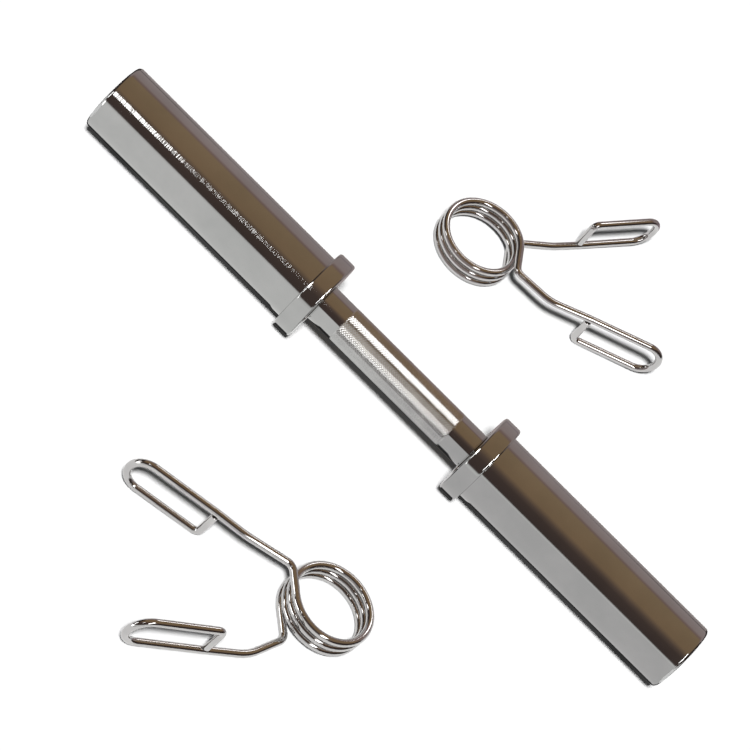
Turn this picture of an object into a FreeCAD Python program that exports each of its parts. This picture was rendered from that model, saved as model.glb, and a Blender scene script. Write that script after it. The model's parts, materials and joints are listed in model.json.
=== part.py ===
import FreeCAD
import Part
import math
import os

from FreeCAD import Placement, Rotation, Vector

# A short weight-lifting handle with two turning sleeves, lying on a floor
# between its two spring collars. Lengths are in millimetres, angles in degrees.
# X runs along the handle, Z is up, and the origin is on the floor under the
# handle's middle.

# Handle shaft
overall_length = 508.0
grip_span = 135.0
grip_diameter = 26.5
knurl_length = 97.0
knurl_rise = 0.15
journal_diameter = 25.0
shaft_end_chamfer = 1.5
knurl_teeth_chamfer = 0.4

# Sleeve tube and flange
sleeve_diameter = 50.0
sleeve_bore = 33.0
sleeve_end_round = 2.5
sleeve_mouth_chamfer = 0.6
flange_diameter = 61.5
flange_width = 13.0
flange_round = 1.8
flange_seat_depth = 1.0

# Bushings
bushing_diameter = 37.0
bushing_length = 24.0
bushing_recess = 1.0
bushing_running_gap = 0.05
bushing_lead = 0.8

# Thrust washer and retaining ring
end_play = 0.3
washer_diameter = 34.0
washer_thickness = 2.5
washer_slip = 0.1
ring_thickness = 1.5
ring_width = 2.6
ring_groove_depth = 0.9
ring_side_gap = 0.05
ring_mouth = 8.0
ear_radius = 2.4
ear_hole_radius = 1.0
shaft_land = 3.5

# End cap
cap_recess = 1.5
cap_thickness = 4.0
cap_skirt = 6.0
cap_wall = 2.5
cap_dish_depth = 1.2
cap_rim_width = 4.5
cap_edge_chamfer = 0.5
cap_to_ring = 0.8

# Collar wire
wire_diameter = 5.1
coil_inner_diameter = 49.4
coil_pitch = 6.2
coil_turns = 3
biarcs_per_turn = 4
root_run = 20.3
root_bend_radius = 6.5
straight_arm_angle = 29.0
straight_arm_length = 115.3
crank_angle = -27.0
crank_run = 29.3
crank_bend_radius = 30.0
cranked_arm_angle = -1.5
cranked_arm_length = 89.1
loop_length = 58.7
loop_width = 25.0
loop_set_bend_radius = 40.0
loop_corner_radius = 4.2
stub_gap = 0.5

# Places of the two collars on the floor
collar_reach = 290.0
far_collar_x = -25.0
far_collar_turn = 26.4
near_collar_x = 68.0
near_collar_turn = 224.4

# Working tolerances
overrun = 1.0
shortest_run = 0.01
samples_per_wire = 240
search_steps = 40
steepest_lean_angle = 17.0

# Values that follow from the ones above
half_length = overall_length / 2
sleeve_start = grip_span / 2
flange_end = sleeve_start + flange_width
flange_seat_radius = sleeve_diameter / 2 - flange_seat_depth
axis_height = flange_diameter / 2
grip_radius = grip_diameter / 2
journal_radius = journal_diameter / 2
groove_radius = journal_radius - ring_groove_depth
seat_radius = bushing_diameter / 2
wire_radius = wire_diameter / 2
coil_radius = coil_inner_diameter / 2 + wire_radius
coil_height = coil_pitch * coil_turns

# Stack inside the sleeve's outer end, from the end inwards
cap_face = half_length - cap_recess
cap_back = cap_face - cap_thickness
skirt_back = cap_back - cap_skirt
ring_face = skirt_back - cap_to_ring
ring_back = ring_face - ring_thickness
shaft_end = ring_face + shaft_land
washer_back = ring_back - washer_thickness
outer_bushing_face = washer_back - end_play
outer_bushing_back = outer_bushing_face - bushing_length
inner_bushing_face = sleeve_start + bushing_recess
inner_bushing_back = inner_bushing_face + bushing_length

x_way = Vector(1, 0, 0)
z_way = Vector(0, 0, 1)


def turned(outline):
    """A solid turned about X from an outline of (x, radius) points."""
    points = [Vector(x, 0, radius) for x, radius in outline]
    face = Part.Face(Part.makePolygon(points + points[:1]))
    return face.revolve(Vector(), x_way, 360)


def circle_edges(shape, x, radius):
    """The edges of a turned solid that are circles of one place and radius."""
    return [
        edge
        for edge in shape.Edges
        if isinstance(edge.Curve, Part.Circle)
        and abs(edge.Curve.Center.x - x) < shortest_run
        and abs(edge.Curve.Radius - radius) < shortest_run
    ]


def rounded(shape, size, places):
    edges = [edge for x, radius in places for edge in circle_edges(shape, x, radius)]
    return shape.makeFillet(size, edges)


def chamfered(shape, size, places):
    edges = [edge for x, radius in places for edge in circle_edges(shape, x, radius)]
    return shape.makeChamfer(size, edges)


def rod(radius, start, end, y=0, z=0):
    return Part.makeCylinder(radius, end - start, Vector(start, y, z), x_way)


def handle_shaft():
    """Knurled grip between two journals, each with a groove for its retaining ring."""
    shoulder = inner_bushing_face - end_play
    half = [
        (knurl_length / 2, grip_radius + knurl_rise),
        (knurl_length / 2 + knurl_teeth_chamfer, grip_radius),
        (shoulder, grip_radius),
        (shoulder, journal_radius),
        (ring_back - ring_side_gap, journal_radius),
        (ring_back - ring_side_gap, groove_radius),
        (ring_face + ring_side_gap, groove_radius),
        (ring_face + ring_side_gap, journal_radius),
        (shaft_end - shaft_end_chamfer, journal_radius),
        (shaft_end, journal_radius - shaft_end_chamfer),
        (shaft_end, 0),
    ]
    other_half = [(-x, radius) for x, radius in reversed(half)]
    return turned(half + other_half)


def sleeve_tube():
    """Load-bearing tube, bored out for its bushings and turned down for its flange."""
    outer = sleeve_diameter / 2
    bore = sleeve_bore / 2
    tube = turned(
        [
            (sleeve_start, flange_seat_radius),
            (flange_end - flange_seat_depth, flange_seat_radius),
            (flange_end, outer),
            (half_length, outer),
            (half_length, seat_radius),
            (outer_bushing_back, seat_radius),
            (outer_bushing_back, bore),
            (inner_bushing_back, bore),
            (inner_bushing_back, seat_radius),
            (sleeve_start, seat_radius),
        ]
    )
    tube = rounded(tube, sleeve_end_round, [(half_length, outer)])
    mouths = [(half_length, seat_radius), (sleeve_start, seat_radius)]
    return chamfered(tube, sleeve_mouth_chamfer, mouths)


def sleeve_flange():
    """Stop ring around the sleeve's inner end, which the plates come against."""
    outer = flange_diameter / 2
    ring = turned(
        [
            (sleeve_start, outer),
            (flange_end, outer),
            (flange_end, sleeve_diameter / 2),
            (flange_end - flange_seat_depth, flange_seat_radius),
            (sleeve_start, flange_seat_radius),
        ]
    )
    return rounded(ring, flange_round, [(sleeve_start, outer), (flange_end, outer)])


def bushing(start):
    """Plain bearing, pressed into the sleeve and running on the shaft's journal."""
    end = start + bushing_length
    bore = journal_radius + bushing_running_gap
    blank = turned(
        [(start, seat_radius), (end, seat_radius), (end, bore), (start, bore)]
    )
    return chamfered(blank, bushing_lead, [(start, seat_radius), (end, seat_radius)])


def thrust_washer():
    outer = washer_diameter / 2
    bore = journal_radius + washer_slip
    return turned(
        [(washer_back, outer), (ring_back, outer), (ring_back, bore), (washer_back, bore)]
    )


def retaining_ring():
    """Open spring ring with two pierced ears, sitting in the shaft's groove."""
    ear_place = groove_radius + ring_width
    ear_y = ring_mouth / 2 + ear_radius / 2
    ear_z = -math.sqrt(ear_place**2 - ear_y**2)
    ring = rod(groove_radius + ring_width, ring_back, ring_face)
    mouth = Part.makeBox(
        ring_thickness + 2 * overrun,
        ring_mouth,
        ear_place + overrun,
        Vector(ring_back - overrun, -ring_mouth / 2, -ear_place - overrun),
    )
    ring = ring.cut(mouth)
    for side in (-1, 1):
        ring = ring.fuse(rod(ear_radius, ring_back, ring_face, side * ear_y, ear_z))
    for side in (-1, 1):
        hole = rod(
            ear_hole_radius, ring_back - overrun, ring_face + overrun, side * ear_y, ear_z
        )
        ring = ring.cut(hole)
    shaft = rod(groove_radius, ring_back - overrun, ring_face + overrun)
    return ring.cut(shaft).removeSplitter()


def end_cap():
    """Plug with a shallow dished face and a skirt around the shaft's end."""
    skirt_bore = seat_radius - cap_wall
    dish_radius = seat_radius - cap_rim_width
    cap = turned(
        [
            (cap_face, seat_radius),
            (cap_face, dish_radius),
            (cap_face - cap_dish_depth, dish_radius - cap_dish_depth),
            (cap_face - cap_dish_depth, 0),
            (cap_back, 0),
            (cap_back, skirt_bore),
            (skirt_back, skirt_bore),
            (skirt_back, seat_radius),
        ]
    )
    return chamfered(cap, cap_edge_chamfer, [(cap_face, seat_radius)])


def tangent_arc(start, corner, end):
    """The arc from start to end whose two tangents meet at the corner."""
    middle = (start + end) / 2
    bend = math.cos((corner - start).getAngle(end - corner) / 2)
    return Part.Arc(start, middle + (corner - middle) * (bend / (1 + bend)), end).toShape()


def biarc(start, start_way, end, end_way):
    """Two arcs that leave start and reach end along the given ways."""
    chord = end - start
    along = chord.dot(start_way + end_way)
    spread = 2 * (1 - start_way.dot(end_way))
    reach = (math.sqrt(along**2 + spread * chord.dot(chord)) - along) / spread
    first_corner = start + start_way * reach
    second_corner = end - end_way * reach
    join = (first_corner + second_corner) / 2
    return [
        tangent_arc(start, first_corner, join),
        tangent_arc(join, second_corner, end),
    ]


def bent_path(points, radii):
    """Straight runs through the points, with an arc of its own radius at each turn."""
    edges = []
    here = points[0]
    for corner, following, radius in zip(points[1:-1], points[2:], radii):
        way_in = (corner - here).normalize()
        way_out = (following - corner).normalize()
        reach = radius * math.tan(way_in.getAngle(way_out) / 2)
        start = corner - way_in * reach
        end = corner + way_out * reach
        if (start - here).Length > shortest_run:
            edges.append(Part.makeLine(here, start))
        edges.append(tangent_arc(start, corner, end))
        here = end
    edges.append(Part.makeLine(here, points[-1]))
    return Part.Wire(edges)


def coil_point(turned_by):
    """A place on the coil's centre line, after so many degrees, and the wire's way there."""
    turn = math.radians(turned_by)
    rise = coil_pitch * turned_by / 360
    place = Vector(
        coil_radius * math.cos(turn),
        -coil_radius * math.sin(turn),
        rise - coil_height / 2,
    )
    way = Vector(
        -coil_radius * math.sin(turn),
        -coil_radius * math.cos(turn),
        coil_pitch / (2 * math.pi),
    )
    return place, way.normalize()


def coil_path():
    """Left-handed helix, one pair of tangent arcs to each quarter turn."""
    step = 360 / biarcs_per_turn
    stations = [coil_point(step * i) for i in range(coil_turns * biarcs_per_turn + 1)]
    edges = []
    for (start, start_way), (end, end_way) in zip(stations, stations[1:]):
        edges += biarc(start, start_way, end, end_way)
    return Part.Wire(edges)


def level_way(angle):
    turn = math.radians(angle)
    return Vector(math.cos(turn), math.sin(turn), 0)


def finger_loop(route, radii, tip, way, side):
    """Adds a flat finger loop to an arm's route, upright and centred on the coil's height.

    The arm comes in on the loop's outer side, which is below the middle where side is 1.
    """
    down = z_way * (-side * loop_width / 2)
    start = tip - way * loop_length
    route.append(start + down)
    route.append(tip + down)
    route.append(tip - down)
    route.append(start - down)
    route.append(start + down - down.normalize() * (wire_diameter / 2 + stub_gap))
    radii += [loop_set_bend_radius, loop_width / 2, loop_width / 2, loop_corner_radius]


def straight_arm_path():
    """From the coil's lower end out along one straight arm to its finger loop."""
    root, way = coil_point(0)
    corner = root - way * root_run
    arm_way = level_way(straight_arm_angle)
    tip = Vector(corner.x, corner.y, 0) + arm_way * straight_arm_length
    route = [root, corner]
    radii = [root_bend_radius]
    finger_loop(route, radii, tip, arm_way, 1)
    return bent_path(route, radii)


def cranked_arm_path():
    """From the coil's upper end out along one cranked arm to its finger loop."""
    root, way = coil_point(360 * coil_turns)
    corner = root + way * root_run
    arm_way = level_way(cranked_arm_angle)
    crank = Vector(corner.x, corner.y, 0) + level_way(crank_angle) * crank_run
    tip = crank + arm_way * cranked_arm_length
    climb = loop_width / 2 - corner.z
    climb_length = crank_run + cranked_arm_length - loop_length
    crank.z = corner.z + climb * crank_run / climb_length
    route = [root, corner, crank]
    radii = [root_bend_radius, crank_bend_radius]
    finger_loop(route, radii, tip, arm_way, -1)
    return bent_path(route, radii)


def wire_solid(path):
    """A round wire swept along its centre line."""
    first = path.OrderedEdges[0]
    start = first.valueAt(first.FirstParameter)
    way = first.tangentAt(first.FirstParameter)
    section = Part.Wire(Part.makeCircle(wire_radius, start, way))
    return path.makePipeShell([section], True, False)


def least_coil_gap():
    """The smallest clear distance between the coil's turns, measured on points."""
    path = coil_path()
    points = path.discretize(Number=samples_per_wire)
    step = path.Length / (samples_per_wire - 1)
    apart = int(math.ceil(math.pi * wire_diameter / step))
    return min(
        point.distanceToPoint(other) - wire_diameter
        for i, point in enumerate(points)
        for other in points[i + apart :]
    )


def stub_gaps():
    """How far each arm's cut end stays clear of the wire that it points at."""
    gaps = []
    for path in (straight_arm_path(), cranked_arm_path()):
        points = path.discretize(Number=samples_per_wire)
        facing = points[: samples_per_wire // 2]
        nearest = min(points[-1].distanceToPoint(point) for point in facing)
        gaps.append(nearest - wire_radius)
    return gaps


def highest(value, low, high):
    """Where a function with one peak is highest."""
    for _ in range(search_steps):
        third = (high - low) / 3
        if value(low + third) < value(high - third):
            low += third
        else:
            high -= third
    return (low + high) / 2


def floor_slopes(points):
    """How the floor slopes under the points once they rest on it in balance."""
    middle = sum(points, Vector()) / len(points)
    steepest = math.tan(math.radians(steepest_lean_angle))

    def clear(slope_x, slope_y):
        return min(
            p.z - slope_x * (p.x - middle.x) - slope_y * (p.y - middle.y) for p in points
        )

    def best_y(slope_x):
        return highest(lambda slope: clear(slope_x, slope), -steepest, steepest)

    best_x = highest(lambda slope: clear(slope, best_y(slope)), -steepest, steepest)
    return best_x, best_y(best_x)


def collar_placement(paths, turned_over, turn, x, side):
    """Lays a collar on the floor beside the handle, as far out as the collars reach."""
    rotation = Rotation(z_way, turn) * Rotation(x_way, 180 if turned_over else 0)
    points = [p for path in paths for p in path.discretize(Number=samples_per_wire)]
    turned_points = [rotation.multVec(p) for p in points]
    slope_x, slope_y = floor_slopes(turned_points)
    lean = Rotation(Vector(-slope_x, -slope_y, 1), z_way)
    rotation = lean * rotation
    resting = [rotation.multVec(p) for p in points]
    lift = wire_radius - min(p.z for p in resting)
    outermost = max(side * p.y for p in resting) + wire_radius
    return Placement(Vector(x, side * (collar_reach - outermost), lift), rotation)


def sleeve_pieces():
    """The pieces of the sleeve at the +X end, round the handle's own axis."""
    return {
        "sleeve_tube": sleeve_tube(),
        "sleeve_flange": sleeve_flange(),
        "inner_bushing": bushing(inner_bushing_face),
        "outer_bushing": bushing(outer_bushing_back),
        "thrust_washer": thrust_washer(),
        "retaining_ring": retaining_ring(),
        "end_cap": end_cap(),
    }


def handle_nodes():
    lift = Vector(0, 0, axis_height)
    other_end = Rotation(z_way, 180)
    nodes = {"handle_shaft": handle_shaft().translated(lift)}
    for name, solid in sleeve_pieces().items():
        mirrored = solid.copy()
        mirrored.Placement = Placement(Vector(), other_end) * mirrored.Placement
        nodes[f"right_{name}"] = solid.translated(lift)
        nodes[f"left_{name}"] = mirrored.translated(lift)
    return nodes


def collar_paths():
    return coil_path(), straight_arm_path(), cranked_arm_path()


def collar_placements():
    """The rest places of the far collar and of the near one, which is turned over."""
    paths = collar_paths()
    return {
        "far": collar_placement(paths, False, far_collar_turn, far_collar_x, 1),
        "near": collar_placement(paths, True, near_collar_turn, near_collar_x, -1),
    }


def collar_nodes():
    coil, straight_arm, cranked_arm = (wire_solid(path) for path in collar_paths())
    lower_and_upper = {"far": (straight_arm, cranked_arm), "near": (cranked_arm, straight_arm)}
    nodes = {}
    for name, placement in collar_placements().items():
        lower_arm, upper_arm = lower_and_upper[name]
        pieces = {"coil": coil, "lower_arm": lower_arm, "upper_arm": upper_arm}
        for piece, solid in pieces.items():
            placed = solid.copy()
            placed.Placement = placement * placed.Placement
            nodes[f"{name}_collar_{piece}"] = placed
    return nodes


def main():
    os.makedirs("parts", exist_ok=True)
    nodes = {**handle_nodes(), **collar_nodes()}
    for name, shape in nodes.items():
        shape.exportStep(os.path.join("parts", f"{name}.step"))
        print(f"{name}: volume {shape.Volume:.1f}, valid {shape.isValid()}")
    print(f"least gap between the coil's turns: {least_coil_gap():.2f}")
    print("gap at each arm's cut end:", ", ".join(f"{gap:.2f}" for gap in stub_gaps()))


main()
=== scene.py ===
import json
import math

import bpy
import numpy as np
from mathutils import Matrix, Vector

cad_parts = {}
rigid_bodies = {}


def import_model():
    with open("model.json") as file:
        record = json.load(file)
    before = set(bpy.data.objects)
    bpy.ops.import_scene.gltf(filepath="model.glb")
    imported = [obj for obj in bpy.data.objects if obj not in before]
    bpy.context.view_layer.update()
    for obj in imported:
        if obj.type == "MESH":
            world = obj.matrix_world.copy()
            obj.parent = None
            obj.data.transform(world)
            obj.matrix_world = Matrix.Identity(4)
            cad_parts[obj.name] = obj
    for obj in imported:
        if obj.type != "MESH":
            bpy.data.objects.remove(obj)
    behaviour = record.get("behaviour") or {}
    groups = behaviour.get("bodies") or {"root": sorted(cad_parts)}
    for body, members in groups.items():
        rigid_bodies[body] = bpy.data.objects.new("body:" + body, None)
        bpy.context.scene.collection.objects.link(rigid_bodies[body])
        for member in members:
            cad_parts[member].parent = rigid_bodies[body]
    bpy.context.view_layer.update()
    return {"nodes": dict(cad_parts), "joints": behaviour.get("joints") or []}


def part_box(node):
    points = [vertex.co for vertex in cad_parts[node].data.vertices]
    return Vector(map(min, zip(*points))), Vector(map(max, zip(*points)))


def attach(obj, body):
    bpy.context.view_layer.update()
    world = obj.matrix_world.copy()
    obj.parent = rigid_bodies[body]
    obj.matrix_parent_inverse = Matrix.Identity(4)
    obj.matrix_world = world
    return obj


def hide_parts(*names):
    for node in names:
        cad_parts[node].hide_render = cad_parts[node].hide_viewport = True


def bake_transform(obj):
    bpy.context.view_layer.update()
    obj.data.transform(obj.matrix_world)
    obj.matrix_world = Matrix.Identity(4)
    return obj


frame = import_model()

JOINTS = {joint["name"]: joint for joint in frame["joints"]}
AXIS_HEIGHT = JOINTS["right_sleeve_spin"]["pos_m"][2]

# Lengths are in metres and angles in degrees. The handle lies along X and the camera looks from -Y.
MM = 0.001
SHARP_ANGLE = 35

# Handle: what the frame's boxes don't tell
SLEEVE_END_ROUND = 2.5 * MM
SLEEVE_BORE_RADIUS = 18.5 * MM
FLANGE_ROUND = 1.8 * MM
FLANGE_BORE_RADIUS = 24 * MM
GRIP_RADIUS = 13.25 * MM
SHAFT_INSIDE_RADIUS = 12.5 * MM
EDGE_BREAK = 0.3 * MM
CAP_DISH_DEPTH = 1.2 * MM
CAP_RIM_WIDTH = 4.5 * MM
CAP_EDGE_BREAK = 0.5 * MM
TURNED_STEPS = 192
CORNER_STEP = 9
AXIS_TOLERANCE = 0.0001 * MM

# Knurl: two crossing families of grooves, the second of them shallower by a share of the depth
KNURL_LENGTH = 97 * MM
KNURL_STARTS = 60
KNURL_PITCH = 1.8 * MM
KNURL_TOP = 0.14 * MM
KNURL_DEPTH = 0.3 * MM
KNURL_RUN_OUT = 1.2 * MM
SHALLOWER_BY = 0.15
STEPS_PER_DIAMOND = 4

# Collars: each arm leaves the coil along a root run. The straight arm then eases off a little
# from its line, and the other has a crank.
WIRE_RADIUS = 2.55 * MM
COIL_RADIUS = 27.25 * MM
COIL_PITCH = 6.2 * MM
COIL_TURNS = 3
ROOT_RUN = 20.3 * MM
ROOT_BEND = 6.5 * MM
STRAIGHT_ARM_ANGLE = 29
STRAIGHT_ARM_LENGTH = 115.3 * MM
EASE_ANGLE = -4.9
EASE_RUN = 35 * MM
EASE_BEND = 60 * MM
CRANK_ANGLE = -27
CRANK_RUN = 29.3 * MM
CRANK_BEND = 30 * MM
CRANKED_ARM_ANGLE = -1.5
CRANKED_ARM_LENGTH = 89.1 * MM
LOOP_LENGTH = 58.7 * MM
LOOP_WIDTH = 25 * MM
LOOP_SET_BEND = 40 * MM
LOOP_CORNER = 4.2 * MM
STUB_GAP = 0.5 * MM
CUT_EDGE_BREAK = 0.35 * MM
FAR_COLLAR_TURN = 26.4
NEAR_COLLAR_TURN = 224.4
WIRE_STEPS = 32
WIRE_CORNER_STEP = 4
COIL_STEPS_PER_TURN = 72

# Metals: two tints, two roughnesses, and the scales of their stains and of their grain. The
# ranges are the part of the noise over which tint and gloss drift.
STAIN_RANGE = (0.35, 0.65)
GLOSS_RANGE = (0.3, 0.7)
NOISE_ROUGHNESS = 0.6
STAIN_DETAIL = 3
GRAIN_DETAIL = 2
CHROME_TINTS = (0.49, 0.495, 0.49), (0.54, 0.54, 0.535)
METALS = {
    "sleeve_chrome": dict(
        tints=CHROME_TINTS,
        roughness=(0.05, 0.09),
        stain_scale=(30, 30, 30),
        grain_scale=(1000, 70, 70),
        grain_height=0.05 * MM,
    ),
    "grip_chrome": dict(
        tints=CHROME_TINTS,
        roughness=(0.05, 0.08),
        stain_scale=(40, 40, 40),
        grain_scale=(1200, 90, 90),
        grain_height=0.0035 * MM,
    ),
    "knurl_chrome": dict(
        tints=((0.55, 0.55, 0.545), (0.62, 0.62, 0.61)),
        roughness=(0.12, 0.2),
        stain_scale=(60, 60, 60),
        grain_scale=(900, 900, 900),
        grain_height=0.01 * MM,
    ),
    "spring_chrome": dict(
        tints=((0.48, 0.47, 0.465), (0.54, 0.53, 0.52)),
        roughness=(0.05, 0.1),
        stain_scale=(60, 60, 60),
        grain_scale=(500, 500, 500),
        grain_height=0.005 * MM,
    ),
    "bushing_bronze": dict(
        tints=((0.36, 0.22, 0.1), (0.5, 0.33, 0.16)),
        roughness=(0.25, 0.4),
        stain_scale=(80, 80, 80),
        grain_scale=(1500, 60, 60),
        grain_height=0.01 * MM,
    ),
    "plain_steel": dict(
        tints=((0.33, 0.33, 0.34), (0.42, 0.42, 0.43)),
        roughness=(0.25, 0.38),
        stain_scale=(80, 80, 80),
        grain_scale=(60, 900, 900),
        grain_height=0.01 * MM,
    ),
}

# Camera
CAMERA_ELEVATION = 46
CAMERA_ROLL = 44.8
CAMERA_DISTANCE = 2.3
CAMERA_LENS = 174
CAMERA_SENSOR = 36
CAMERA_REACH = 50
AIM_RIGHT = -14.1 * MM
AIM_UP = 1.3 * MM

# Floor, fill and key: the key's share is how bright it makes a level white surface
FLOOR_SIZE = 12
FLOOR_ALBEDO = 0.93
FILL_STRENGTH = 0.055
KEY_ELEVATION = 56
KEY_ANGLE = 8
KEY_SHARE = 1.06

# Tent, which glows as a painted reflection: its bands run from behind (0), over the top (0.5), down
# to the front (1)
TENT_RADIUS = 3
TENT_LENGTH = 7
TENT_STEPS = 96
TENT_BANDS = (
    (0.0, (0.38, 0.32, 0.315)),
    (0.2, (0.36, 0.285, 0.275)),
    (0.25, (0.25, 0.17, 0.15)),
    (0.29, (0.3, 0.21, 0.125)),
    (0.6, (0.27, 0.18, 0.105)),
    (0.68, (0.13, 0.09, 0.07)),
    (0.74, (0.082, 0.058, 0.049)),
    (0.885, (0.07, 0.05, 0.045)),
    (0.905, (0.74, 0.74, 0.73)),
    (1.0, (0.8, 0.8, 0.79)),
)
TENT_END_COLOUR = (0.06, 0.045, 0.04)

# Cards close to the floor, which glow as painted reflections: where each begins across the handle
# (Y), or beyond its ends (X)
CARD_HEIGHT = 1 * MM
FRONT_CARD_Y = -0.06
FRONT_CARD_TOP = 0.052
FRONT_LEFT_COLOUR = (0.8, 0.8, 0.79)
FRONT_RIGHT_COLOUR = (0.67, 0.66, 0.66)
NEAR_CARD_Y = 0.028
BACK_CARD_Y = 0.105
BACK_CARD_TOP = 0.046
BACK_COLOUR = (0.36, 0.31, 0.305)
FAR_CARD_Y = 0.31
FAR_COLOUR = (0.3, 0.24, 0.26)
SIDE_CARD_X = 0.27
SIDE_COLOUR = (0.05, 0.04, 0.04)

# Shade cards, which glow as painted shade: a far edge, and a near one that stops short of the
# flanges by the taper
SHADE_HEIGHT = 1.2 * MM
SHADE_NEAR_Y = -17.5 * MM
FLANGE_SHADE_NEAR_Y = -23.5 * MM
SHADE_FAR_Y = 8.5 * MM
SHADE_TAPER = 9.5 * MM
SHADE_COLOUR = (0.03, 0.03, 0.03)

# Light panels: name, place, size, strength, and a word in the names of all that they shine on
PANELS = (
    ("streak_light", (-0.59, -1.2, 1.59), (0.09, 0.42), 5.5, ""),
    ("knurl_light", (1.2, -1.1, 1.42), (0.4, 1.3), 7, ""),
    ("left_light", (-0.95, -1.0, 0.14), (0.8, 0.22), 6, ""),
    ("speck_light", (-0.29, -1.2, 1.59), (0.008, 0.42), 9, ""),
    ("collar_light", (0, 1.4, 1.5), (0.6, 0.2), 5, "collar"),
    ("side_light", (-2.6, -1.0, 0.9), (1.2, 0.8), 5, ""),
    ("rim_light_low", (1.6, -0.42, 0.75), (1.6, 0.16), 12, "flange"),
    ("rim_light_high", (1.6, -0.03, 0.95), (1.6, 0.16), 12, "flange"),
    ("rim_light_left", (-1.6, -0.42, 0.75), (1.6, 0.3), 12, "flange"),
)


def mesh_object(name, vertices, faces, material, smooth=True):
    mesh = bpy.data.meshes.new(name)
    mesh.from_pydata([tuple(v) for v in vertices], [], faces)
    mesh.validate()
    if smooth:
        mesh.shade_smooth()
        mesh.set_sharp_from_angle(angle=math.radians(SHARP_ANGLE))
    obj = bpy.data.objects.new(name, mesh)
    bpy.context.scene.collection.objects.link(obj)
    mesh.materials.append(material)
    # The fill light reaches the floor close to the pieces, and only the key casts a shadow.
    obj.visible_diffuse = False
    return obj


def bent(points, radii, step=CORNER_STEP, closed=False):
    """Points along a line whose corners are arcs of the given radii, in 2 or 3 dimensions."""
    points = [np.array(p, float) for p in points]
    count = len(points)
    out = []
    for i, (corner, radius) in enumerate(zip(points, radii)):
        inner = closed or 0 < i < count - 1
        if not inner or radius == 0:
            out.append(corner)
            continue
        way_in = corner - points[i - 1]
        way_out = points[(i + 1) % count] - corner
        way_in /= np.linalg.norm(way_in)
        way_out /= np.linalg.norm(way_out)
        turn = math.acos(np.clip(way_in @ way_out, -1, 1))
        reach = radius * math.tan(turn / 2)
        start = corner - way_in * reach
        outward = way_in * math.cos(turn) - way_out
        outward /= np.linalg.norm(outward)
        steps = max(2, math.ceil(math.degrees(turn) / step))
        for k in range(steps + 1):
            angle = turn * k / steps
            out.append(
                start + radius * (outward * (math.cos(angle) - 1) + way_in * math.sin(angle))
            )
    return out


def lathe(name, outline, material):
    """A closed solid turned about the handle's axis from a closed outline of (x, radius)."""
    vertices, rings, faces = [], [], []
    for x, radius in outline:
        if radius < AXIS_TOLERANCE:
            rings.append([len(vertices)] * TURNED_STEPS)
            vertices.append((x, 0, AXIS_HEIGHT))
            continue
        rings.append(list(range(len(vertices), len(vertices) + TURNED_STEPS)))
        for k in range(TURNED_STEPS):
            turn = 2 * math.pi * k / TURNED_STEPS
            vertices.append(
                (x, radius * math.cos(turn), AXIS_HEIGHT + radius * math.sin(turn))
            )
    for ring, following in zip(rings, rings[1:] + rings[:1]):
        for k in range(TURNED_STEPS):
            k1 = (k + 1) % TURNED_STEPS
            face = [ring[k], ring[k1], following[k1], following[k]]
            face = list(dict.fromkeys(face))
            if len(face) > 2:
                faces.append(face)
    return mesh_object(name, vertices, faces, material)


def tube(name, path, material, place, cut_ends=(False, False)):
    """A round wire along a path, with a broken edge where it is cut."""
    path = [np.array(p, float) for p in path]
    ways = [b - a for a, b in zip(path, path[1:])]
    ways = [w / np.linalg.norm(w) for w in ways]
    tangents = [ways[0]] + [a + b for a, b in zip(ways, ways[1:])] + [ways[-1]]
    tangents = [Vector(t).normalized() for t in tangents]
    side = tangents[0].orthogonal().normalized()
    rings = []
    for i, (point, tangent) in enumerate(zip(path, tangents)):
        if i:
            side = tangents[i - 1].rotation_difference(tangent) @ side
        rings.append((Vector(point), tangent, side.copy(), WIRE_RADIUS))
    for end, cut in zip((0, -1), cut_ends):
        if cut:
            point, tangent, across, radius = rings[end]
            inward = tangent if end == 0 else -tangent
            rings[end] = (point + inward * CUT_EDGE_BREAK, tangent, across, radius)
            face = (point, tangent, across, radius - CUT_EDGE_BREAK)
            rings.insert(0 if end == 0 else len(rings), face)
    vertices, faces = [], []
    for point, tangent, across, radius in rings:
        up = tangent.cross(across)
        for k in range(WIRE_STEPS):
            turn = 2 * math.pi * k / WIRE_STEPS
            vertices.append(point + radius * (across * math.cos(turn) + up * math.sin(turn)))
    for i in range(len(rings) - 1):
        for k in range(WIRE_STEPS):
            k1 = (k + 1) % WIRE_STEPS
            a, b = i * WIRE_STEPS, (i + 1) * WIRE_STEPS
            faces.append([a + k, a + k1, b + k1, b + k])
    faces.append(list(reversed(range(WIRE_STEPS))))
    faces.append(list(range(len(vertices) - WIRE_STEPS, len(vertices))))
    return mesh_object(name, [place @ v for v in vertices], faces, material)


# Materials


def nodes_of(material):
    material.use_nodes = True
    tree = material.node_tree
    tree.nodes.clear()
    return tree


def put(tree, kind, **settings):
    """A new node; a setting whose name begins with in_ is the value of an input."""
    node = tree.nodes.new(kind)
    for name, value in settings.items():
        if name.startswith("in_"):
            node.inputs[name[3:].replace("_", " ")].default_value = value
        else:
            setattr(node, name, value)
    return node


def ramp(tree, stops):
    node = tree.nodes.new("ShaderNodeValToRGB")
    elements = node.color_ramp.elements
    while len(elements) < len(stops):
        elements.new(0.5)
    for element, (place, colour) in zip(elements, stops):
        element.position = place
        element.color = (*colour, 1)
    return node


def stretched_noise(tree, scale, detail):
    """Noise in object space, with its own scale along each axis."""
    coordinates = put(tree, "ShaderNodeTexCoord")
    mapping = put(tree, "ShaderNodeMapping", in_Scale=scale)
    noise = put(
        tree, "ShaderNodeTexNoise", in_Scale=1, in_Detail=detail, in_Roughness=NOISE_ROUGHNESS
    )
    tree.links.new(coordinates.outputs["Object"], mapping.inputs["Vector"])
    tree.links.new(mapping.outputs["Vector"], noise.inputs["Vector"])
    return noise


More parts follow.
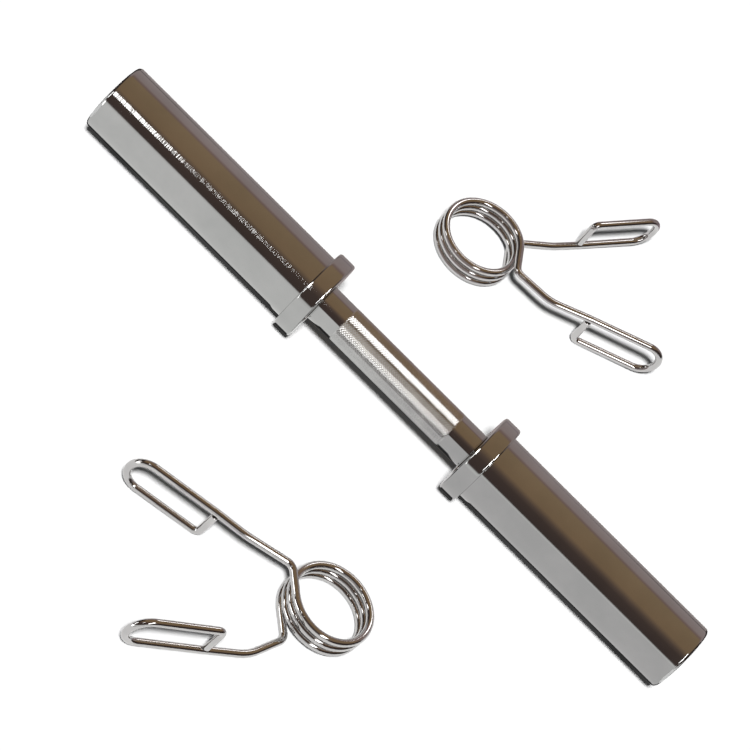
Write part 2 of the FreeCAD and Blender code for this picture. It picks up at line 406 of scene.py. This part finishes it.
def metal(name, tints, roughness, stain_scale, grain_scale, grain_height):
    """Bare or plated metal: its tint and gloss drift a little, over a fine grain."""
    material = bpy.data.materials.new(name)
    tree = nodes_of(material)
    shader = put(tree, "ShaderNodeBsdfPrincipled", in_Metallic=1)
    output = put(tree, "ShaderNodeOutputMaterial")
    stains = stretched_noise(tree, stain_scale, STAIN_DETAIL)
    tint = ramp(tree, list(zip(STAIN_RANGE, tints)))
    gloss = put(
        tree,
        "ShaderNodeMapRange",
        in_From_Min=GLOSS_RANGE[0],
        in_From_Max=GLOSS_RANGE[1],
        in_To_Min=roughness[0],
        in_To_Max=roughness[1],
    )
    grain = stretched_noise(tree, grain_scale, GRAIN_DETAIL)
    bump = put(tree, "ShaderNodeBump", in_Strength=1, in_Distance=grain_height)
    links = tree.links
    links.new(stains.outputs["Fac"], tint.inputs["Fac"])
    links.new(stains.outputs["Fac"], gloss.inputs["Value"])
    links.new(tint.outputs["Color"], shader.inputs["Base Color"])
    links.new(gloss.outputs["Result"], shader.inputs["Roughness"])
    links.new(grain.outputs["Fac"], bump.inputs["Height"])
    links.new(bump.outputs["Normal"], shader.inputs["Normal"])
    links.new(shader.outputs["BSDF"], output.inputs["Surface"])
    return material


def floor_material():
    material = bpy.data.materials.new("pale_floor")
    tree = nodes_of(material)
    paint = put(tree, "ShaderNodeBsdfDiffuse", in_Color=(FLOOR_ALBEDO,) * 3 + (1,))
    output = put(tree, "ShaderNodeOutputMaterial")
    tree.links.new(paint.outputs["BSDF"], output.inputs["Surface"])
    return material


def glow_material(name, colour):
    material = bpy.data.materials.new(name)
    tree = nodes_of(material)
    glow = put(tree, "ShaderNodeEmission", in_Color=(*colour, 1), in_Strength=1)
    output = put(tree, "ShaderNodeOutputMaterial")
    tree.links.new(glow.outputs["Emission"], output.inputs["Surface"])
    return material


def tent_material():
    """A dim glowing tent, a painted reflection: pale low in front, dark up to the camera's height,
    brown above, mauve behind.
    """
    material = bpy.data.materials.new("studio_tent")
    tree = nodes_of(material)
    place = put(tree, "ShaderNodeTexCoord")
    parts = put(tree, "ShaderNodeSeparateXYZ")
    angle = put(tree, "ShaderNodeMath", operation="ARCTAN2")
    share = put(tree, "ShaderNodeMath", operation="DIVIDE")
    share.inputs[1].default_value = math.pi
    bands = ramp(tree, TENT_BANDS)
    glow = put(tree, "ShaderNodeEmission", in_Strength=1)
    output = put(tree, "ShaderNodeOutputMaterial")
    links = tree.links
    links.new(place.outputs["Object"], parts.inputs["Vector"])
    links.new(parts.outputs["Z"], angle.inputs[0])
    links.new(parts.outputs["Y"], angle.inputs[1])
    links.new(angle.outputs["Value"], share.inputs[0])
    links.new(share.outputs["Value"], bands.inputs["Fac"])
    links.new(bands.outputs["Color"], glow.inputs["Color"])
    links.new(glow.outputs["Emission"], output.inputs["Surface"])
    return material


# Handle


def reach_of(node):
    """How far from the middle a turned piece begins and ends along the handle, and its radius."""
    low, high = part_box(node)
    return min(abs(low.x), abs(high.x)), max(abs(low.x), abs(high.x)), (high.y - low.y) / 2


def turned_at(side, name, outline, material):
    """A turned piece at one end of the handle, from an outline given for the +X end."""
    points = [(side * x, radius) for x, radius in outline]
    # The order of the outline decides which way the faces point.
    if side > 0:
        points.reverse()
    return lathe(name, points, material)


def sleeve_piece(node, outline, material, side, body):
    obj = turned_at(side, f"{node}_turned", outline, material)
    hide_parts(node)
    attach(obj, body)


def sleeve_tube(side_name, side, material):
    node = f"{side_name}_sleeve_tube"
    start, end, outer = reach_of(node)
    flange_end = reach_of(f"{side_name}_sleeve_flange")[1]
    seat = FLANGE_BORE_RADIUS
    outline = bent(
        [
            (start, SLEEVE_BORE_RADIUS),
            (start, seat),
            (flange_end - (outer - seat), seat),
            (flange_end, outer),
            (end, outer),
            (end, SLEEVE_BORE_RADIUS),
        ],
        [EDGE_BREAK, EDGE_BREAK, 0, 0, SLEEVE_END_ROUND, EDGE_BREAK],
        closed=True,
    )
    sleeve_piece(node, outline, material, side, f"{side_name}_sleeve")


def sleeve_flange(side_name, side, material):
    node = f"{side_name}_sleeve_flange"
    start, end, outer = reach_of(node)
    sleeve_radius = reach_of(f"{side_name}_sleeve_tube")[2]
    seat = FLANGE_BORE_RADIUS
    outline = bent(
        [
            (start, seat),
            (start, outer),
            (end, outer),
            (end, sleeve_radius),
            (end - (sleeve_radius - seat), seat),
        ],
        [0, FLANGE_ROUND, FLANGE_ROUND, 0, 0],
        closed=True,
    )
    sleeve_piece(node, outline, material, side, f"{side_name}_sleeve")


def end_cap(side_name, side, material):
    node = f"{side_name}_end_cap"
    start, end, outer = reach_of(node)
    dish = outer - CAP_RIM_WIDTH
    outline = bent(
        [
            (start, 0),
            (start, outer),
            (end, outer),
            (end, dish),
            (end - CAP_DISH_DEPTH, dish - CAP_DISH_DEPTH),
            (end - CAP_DISH_DEPTH, 0),
        ],
        [0, 0, CAP_EDGE_BREAK, EDGE_BREAK, CAP_DISH_DEPTH, 0],
        closed=True,
    )
    sleeve_piece(node, outline, material, side, f"{side_name}_sleeve")


def knurl_height(along, turn):
    """How far a point stands above the bottom of the first grooves, as a share of their depth."""
    first = KNURL_STARTS * turn / (2 * math.pi) + along / KNURL_PITCH
    second = KNURL_STARTS * turn / (2 * math.pi) - along / KNURL_PITCH

    def ridge(value):
        return 1 - abs(2 * (value % 1) - 1)

    return min(ridge(first), ridge(second) + SHALLOWER_BY)


def knurled_sleeve(material):
    """The grip's knurled skin: diamonds on a grid that follows both families of grooves."""
    around = KNURL_STARTS * STEPS_PER_DIAMOND
    step = KNURL_PITCH / STEPS_PER_DIAMOND
    half_rows = round(KNURL_LENGTH / 2 / step)
    rows = range(-half_rows, half_rows + 1)
    vertices, faces = [], []
    for row in rows:
        along = row * step
        edge = (KNURL_LENGTH / 2 - abs(along)) / KNURL_RUN_OUT
        share = min(max(edge, 0), 1)
        for k in range(around):
            turn = 2 * math.pi * k / around
            height = KNURL_TOP - KNURL_DEPTH * (1 - knurl_height(along, turn))
            radius = GRIP_RADIUS + share * height
            vertices.append(
                (along, radius * math.cos(turn), AXIS_HEIGHT + radius * math.sin(turn))
            )
    for i in range(len(rows) - 1):
        for k in range(around):
            k1 = (k + 1) % around
            a, b = i * around + k, i * around + k1
            c, d = (i + 1) * around + k1, (i + 1) * around + k
            if (k + i - half_rows) % 2:
                faces += [[a, d, b], [b, d, c]]
            else:
                faces += [[a, d, c], [a, c, b]]
    for row, side in ((0, -1), (len(rows) - 1, 1)):
        hub = len(vertices)
        vertices.append((side * KNURL_LENGTH / 2, 0, AXIS_HEIGHT))
        for k in range(around):
            a, b = row * around + k, row * around + (k + 1) % around
            faces.append([hub, a, b] if side < 0 else [hub, b, a])
    return mesh_object("handle_knurl", vertices, faces, material, smooth=False)


def handle_shaft(material, knurl_material):
    """The shaft's plain halves, which begin just inside the knurled skin's ends, and that skin."""
    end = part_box("handle_shaft")[1].x
    shoulder = reach_of("right_inner_bushing")[0] - EDGE_BREAK
    outline = bent(
        [
            (KNURL_LENGTH / 2 - EDGE_BREAK, 0),
            (KNURL_LENGTH / 2 - EDGE_BREAK, GRIP_RADIUS),
            (shoulder, GRIP_RADIUS),
            (shoulder, SHAFT_INSIDE_RADIUS),
            (end, SHAFT_INSIDE_RADIUS),
            (end, 0),
        ],
        [0, 0, EDGE_BREAK, 0, EDGE_BREAK, 0],
        closed=True,
    )
    for side_name, side in (("left", -1), ("right", 1)):
        obj = turned_at(side, f"handle_shaft_{side_name}", outline, material)
        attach(obj, "handle")
    knurl = knurled_sleeve(knurl_material)
    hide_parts("handle_shaft")
    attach(knurl, "handle")


# Collars, each in a frame of its own: the coil's middle at the origin and its axis along Z


def coil_point(turned_by):
    """A point of the coil, a left-handed one, and the way the wire runs there."""
    turn = math.radians(turned_by)
    rise = COIL_PITCH * turned_by / 360
    place = np.array(
        [
            COIL_RADIUS * math.cos(turn),
            -COIL_RADIUS * math.sin(turn),
            rise - COIL_PITCH * COIL_TURNS / 2,
        ]
    )
    way = np.array(
        [
            -COIL_RADIUS * math.sin(turn),
            -COIL_RADIUS * math.cos(turn),
            COIL_PITCH / (2 * math.pi),
        ]
    )
    return place, way / np.linalg.norm(way)


def level_way(angle):
    """The level direction at an angle from X."""
    turn = math.radians(angle)
    return np.array([math.cos(turn), math.sin(turn), 0])


def on_level(point):
    return np.array([point[0], point[1], 0])


def finger_loop(route, radii, tip, way, side):
    """Adds an upright loop: out to the tip, round it, back, and a stub that points at the arm."""
    down = np.array([0, 0, -side * LOOP_WIDTH / 2])
    start = tip - way * LOOP_LENGTH
    stub = start + down * (1 - (WIRE_RADIUS + STUB_GAP) / (LOOP_WIDTH / 2))
    route += [start + down, tip + down, tip - down, start - down, stub]
    radii += [LOOP_SET_BEND, LOOP_WIDTH / 2, LOOP_WIDTH / 2, LOOP_CORNER, 0]


def coil_path():
    count = COIL_TURNS * COIL_STEPS_PER_TURN
    return [coil_point(360 * COIL_TURNS * i / count)[0] for i in range(count + 1)]


def straight_arm_path():
    root, way = coil_point(0)
    corner = root - way * ROOT_RUN
    tip = on_level(corner) + level_way(STRAIGHT_ARM_ANGLE) * STRAIGHT_ARM_LENGTH
    ease = on_level(corner) + level_way(STRAIGHT_ARM_ANGLE + EASE_ANGLE) * EASE_RUN
    arm_way = (tip - ease) / np.linalg.norm(tip - ease)
    climb = -LOOP_WIDTH / 2 - corner[2]
    ease[2] = corner[2] + climb * EASE_RUN / (STRAIGHT_ARM_LENGTH - LOOP_LENGTH)
    route, radii = [root, corner, ease], [0, ROOT_BEND, EASE_BEND]
    finger_loop(route, radii, tip, arm_way, 1)
    return bent(route, radii, step=WIRE_CORNER_STEP)


def cranked_arm_path():
    root, way = coil_point(360 * COIL_TURNS)
    corner = root + way * ROOT_RUN
    arm_way = level_way(CRANKED_ARM_ANGLE)
    crank = on_level(corner) + level_way(CRANK_ANGLE) * CRANK_RUN
    tip = crank + arm_way * CRANKED_ARM_LENGTH
    climb = LOOP_WIDTH / 2 - corner[2]
    climb_length = CRANK_RUN + CRANKED_ARM_LENGTH - LOOP_LENGTH
    crank[2] = corner[2] + climb * CRANK_RUN / climb_length
    route, radii = [root, corner, crank], [0, ROOT_BEND, CRANK_BEND]
    finger_loop(route, radii, tip, arm_way, -1)
    return bent(route, radii, step=WIRE_CORNER_STEP)


def collar(name, turn, turned_over, material):
    """One spring collar: its arms go with the collar's two bodies, while its coil keeps its place
    and shape.
    """
    joint = JOINTS[f"{name}_collar_squeeze"]
    centre, axis = Vector(joint["pos_m"]), Vector(joint["axis"]).normalized()
    lean = Vector((0, 0, 1)).rotation_difference(axis).to_matrix().to_4x4()
    place = Matrix.Translation(centre) @ lean @ Matrix.Rotation(math.radians(turn), 4, "Z")
    if turned_over:
        place = place @ Matrix.Rotation(math.pi, 4, "X")
    straight, cranked = straight_arm_path(), cranked_arm_path()
    lower, upper = (cranked, straight) if turned_over else (straight, cranked)
    cut = (False, True)
    low_arm = tube(f"{name}_collar_lower_arm_wire", lower, material, place, cut)
    up_arm = tube(f"{name}_collar_upper_arm_wire", upper, material, place, cut)
    coil = tube(f"{name}_collar_coil_wire", coil_path(), material, place)
    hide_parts(f"{name}_collar_lower_arm")
    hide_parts(f"{name}_collar_upper_arm")
    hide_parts(f"{name}_collar_coil")
    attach(low_arm, f"{name}_collar")
    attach(up_arm, f"{name}_collar_arm")
    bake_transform(coil)


# Studio


def only_glossy(obj):
    """Keeps an object from all rays but the metal's reflections."""
    obj.visible_camera = False
    obj.visible_diffuse = False
    obj.visible_shadow = False
    obj.visible_transmission = False
    obj.visible_volume_scatter = False


def add_floor():
    half = FLOOR_SIZE / 2
    corners = [(-half, -half, 0), (half, -half, 0), (half, half, 0), (-half, half, 0)]
    floor = mesh_object("floor", corners, [[0, 1, 2, 3]], floor_material(), smooth=False)


def add_tent():
    """Half a cylinder over the handle, which only its reflections see."""
    vertices, faces = [], []
    for i in range(TENT_STEPS + 1):
        turn = math.pi * i / TENT_STEPS
        y, z = TENT_RADIUS * math.cos(turn), TENT_RADIUS * math.sin(turn)
        vertices += [(-TENT_LENGTH / 2, y, z), (TENT_LENGTH / 2, y, z)]
    for i in range(TENT_STEPS):
        a = 2 * i
        faces.append([a, a + 1, a + 3, a + 2])
    tent = mesh_object("tent", vertices, faces, tent_material())
    only_glossy(tent)
    # The tent's ends glow dark, as a painted dark reflection.
    dark = glow_material("dark_cloth", TENT_END_COLOUR)
    for side in (-1, 1):
        arc = [(side * TENT_LENGTH / 2, y, z) for _, y, z in vertices[::2]]
        face = list(range(len(arc)))
        wall = mesh_object(f"tent_end_{side + 1}", arc, [face], dark, smooth=False)
        only_glossy(wall)


def add_card(name, corners, colour):
    """A glowing card that only reflections see, as a painted reflection, from its four corners in
    their order round it.
    """
    card = mesh_object(name, corners, [[0, 1, 2, 3]], glow_material(name, colour), smooth=False)
    only_glossy(card)


def add_cards():
    """Painted reflections that the metal mirrors near the floor: grey in front, laid over the floor
    and its shadow and lighter at the left than at the right, mauve behind, dark at the sides.
    """
    side, reach, height = SIDE_CARD_X, TENT_LENGTH / 2, CARD_HEIGHT

    def lay(name, left, right, near, far, colour):
        corners = [(left, near), (right, near), (right, far), (left, far)]
        add_card(name, [(x, y, height) for x, y in corners], colour)

    def stand(name, left, right, y, top, colour):
        corners = [(left, height), (right, height), (right, top), (left, top)]
        add_card(name, [(x, y, z) for x, z in corners], colour)

    halves = (("left", -side, 0, FRONT_LEFT_COLOUR), ("right", 0, side, FRONT_RIGHT_COLOUR))
    for half, left, right, colour in halves:
        lay(f"under_card_{half}", left, right, FRONT_CARD_Y, NEAR_CARD_Y, colour)
        stand(f"front_card_{half}", left, right, FRONT_CARD_Y, FRONT_CARD_TOP, colour)
    lay("near_card", -side, side, NEAR_CARD_Y, BACK_CARD_Y, BACK_COLOUR)
    stand("back_card", -side, side, BACK_CARD_Y, BACK_CARD_TOP, BACK_COLOUR)
    lay("far_card", -side, side, FAR_CARD_Y, TENT_RADIUS, FAR_COLOUR)
    lay("left_card", -reach, -side, 0, TENT_RADIUS, SIDE_COLOUR)
    lay("right_card", side, reach, 0, TENT_RADIUS, SIDE_COLOUR)


def add_shade_cards():
    """Painted shade: dark cards for the bar's own shade on the floor, as the lower edges of its
    pieces mirror it.
    """
    start, end, _ = reach_of("right_sleeve_flange")
    inside, outside, side = start - SHADE_TAPER, end + SHADE_TAPER, SIDE_CARD_X
    sleeve, flange, far = SHADE_NEAR_Y, FLANGE_SHADE_NEAR_Y, SHADE_FAR_Y
    outlines = {
        "grip_shade": [(-inside, sleeve), (inside, sleeve), (start, far), (-start, far)],
        "left_shade": [(-side, sleeve), (-outside, sleeve), (-end, far), (-side, far)],
        "right_shade": [(outside, sleeve), (side, sleeve), (side, far), (end, far)],
        "left_flange_shade": [(-end, flange), (-start, flange), (-start, far), (-end, far)],
        "right_flange_shade": [(start, flange), (end, flange), (end, far), (start, far)],
    }
    for name, outline in outlines.items():
        add_card(name, [(x, y, SHADE_HEIGHT) for x, y in outline], SHADE_COLOUR)


def add_key():
    """Light from high in front, which the floor sees and the metal doesn't."""
    light = bpy.data.lights.new("key", "SUN")
    elevation = math.radians(KEY_ELEVATION)
    light.energy = KEY_SHARE * math.pi / math.sin(elevation)
    light.angle = math.radians(KEY_ANGLE)
    key = bpy.data.objects.new("key", light)
    bpy.context.scene.collection.objects.link(key)
    way = Vector((0, math.cos(elevation), -math.sin(elevation)))
    key.rotation_euler = way.to_track_quat("-Z", "Y").to_euler()
    key.visible_glossy = False


def add_panel(name, place, size, strength):
    """A bright panel that only reflections see, turned about X to face the handle."""
    light = bpy.data.lights.new(name, "AREA")
    light.shape = "RECTANGLE"
    light.size, light.size_y = size
    light.energy = strength * size[0] * size[1] * math.pi
    panel = bpy.data.objects.new(name, light)
    bpy.context.scene.collection.objects.link(panel)
    panel.location = place
    way = Vector((place[0], 0, AXIS_HEIGHT)) - Vector(place)
    panel.rotation_euler = way.to_track_quat("-Z", "Y").to_euler()
    panel.visible_camera = False
    panel.visible_diffuse = False
    return panel


def only_on(panel, word):
    """Lets a panel shine only on the pieces that have this word in their names."""
    shone_on = bpy.data.collections.new(f"{panel.name}_pieces")
    for obj in bpy.data.objects:
        if word in obj.name and obj.type == "MESH":
            shone_on.objects.link(obj)
    panel.light_linking.receiver_collection = shone_on


def add_world():
    """White where it is seen, and a weaker white as fill light."""
    world = bpy.data.worlds.new("studio")
    bpy.context.scene.world = world
    world.use_nodes = True
    tree = world.node_tree
    tree.nodes.clear()
    path = put(tree, "ShaderNodeLightPath")
    either = put(tree, "ShaderNodeMath", operation="MAXIMUM")
    seen = put(tree, "ShaderNodeMath", operation="MAXIMUM")
    strength = put(tree, "ShaderNodeMapRange")
    strength.inputs["To Min"].default_value = FILL_STRENGTH
    strength.inputs["To Max"].default_value = 1
    background = put(tree, "ShaderNodeBackground")
    background.inputs["Color"].default_value = (1, 1, 1, 1)
    output = put(tree, "ShaderNodeOutputWorld")
    links = tree.links
    links.new(path.outputs["Is Camera Ray"], either.inputs[0])
    links.new(path.outputs["Is Glossy Ray"], either.inputs[1])
    links.new(either.outputs["Value"], seen.inputs[0])
    links.new(path.outputs["Is Transmission Ray"], seen.inputs[1])
    links.new(seen.outputs["Value"], strength.inputs["Value"])
    links.new(strength.outputs["Result"], background.inputs["Strength"])
    links.new(background.outputs["Background"], output.inputs["Surface"])


def add_camera():
    """A camera that looks down, rolled so that the handle lies from corner to corner."""
    elevation, roll = math.radians(CAMERA_ELEVATION), math.radians(CAMERA_ROLL)
    look = Vector((0, math.cos(elevation), -math.sin(elevation)))
    level_right = Vector((1, 0, 0))
    level_up = Vector((0, math.sin(elevation), math.cos(elevation)))
    right = level_right * math.cos(roll) + level_up * math.sin(roll)
    up = level_up * math.cos(roll) - level_right * math.sin(roll)
    aim = Vector((0, 0, AXIS_HEIGHT)) + right * AIM_RIGHT + up * AIM_UP
    camera_data = bpy.data.cameras.new("camera")
    camera_data.lens = CAMERA_LENS
    camera_data.sensor_width = CAMERA_SENSOR
    camera_data.clip_end = CAMERA_REACH
    camera = bpy.data.objects.new("camera", camera_data)
    bpy.context.scene.collection.objects.link(camera)
    axes = Matrix((right, up, -look)).transposed().to_4x4()
    camera.matrix_world = Matrix.Translation(aim - look * CAMERA_DISTANCE) @ axes
    bpy.context.scene.camera = camera


materials = {name: metal(name, **look) for name, look in METALS.items()}
for side_name, side in (("right", 1), ("left", -1)):
    sleeve_tube(side_name, side, materials["sleeve_chrome"])
    sleeve_flange(side_name, side, materials["grip_chrome"])
    end_cap(side_name, side, materials["sleeve_chrome"])
handle_shaft(materials["grip_chrome"], materials["knurl_chrome"])
collar("far", FAR_COLLAR_TURN, False, materials["spring_chrome"])
collar("near", NEAR_COLLAR_TURN, True, materials["spring_chrome"])

# The pieces inside the sleeves keep their own meshes.
for name, node in frame["nodes"].items():
    if "bushing" in name:
        finish = materials["bushing_bronze"]
    elif "washer" in name or "ring" in name:
        finish = materials["plain_steel"]
    else:
        continue
    node.data.materials.clear()
    node.data.materials.append(finish)

add_floor()
add_tent()
add_world()
add_key()
add_cards()
add_shade_cards()
for name, place, size, strength, word in PANELS:
    panel = add_panel(name, place, size, strength)
    if word:
        only_on(panel, word)
add_camera()

bpy.context.scene.view_settings.view_transform = "Standard"
bpy.context.view_layer.update()
